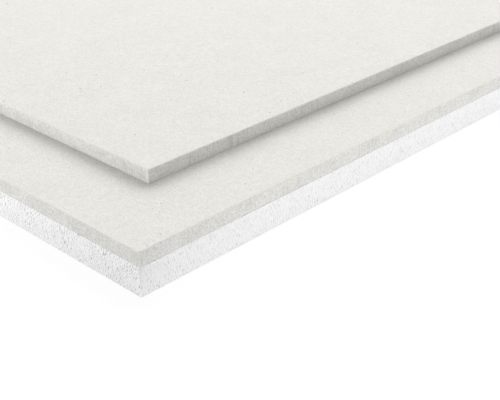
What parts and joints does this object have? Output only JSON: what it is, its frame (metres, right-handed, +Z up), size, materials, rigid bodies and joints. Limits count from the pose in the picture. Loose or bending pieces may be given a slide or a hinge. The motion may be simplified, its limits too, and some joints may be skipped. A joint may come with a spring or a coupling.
{
  "type": "gypsum fibre floor board",
  "caption": "Flat floor element of gypsum fibre boards glued with an offset into a stepped rebate, backed with rigid foam.",
  "frame": {"origin": "centre of the insulation's underside, where the element lies on the subfloor", "axes": "+X along the length towards the end ledge, +Y across the width towards the side lap, +Z up towards the walking face"},
  "size_m": [1.56, 0.56, 0.04],
  "materials": {
    "gypsum_fibre": "matt, sanded on the face and sawn at the edges",
    "expanded_polystyrene": "white bead foam, wire cut"
  },
  "bodies": {
    "root": {"upper_board": "gypsum_fibre", "lower_board": "gypsum_fibre", "insulation": "expanded_polystyrene"}
  },
  "joints": []
}
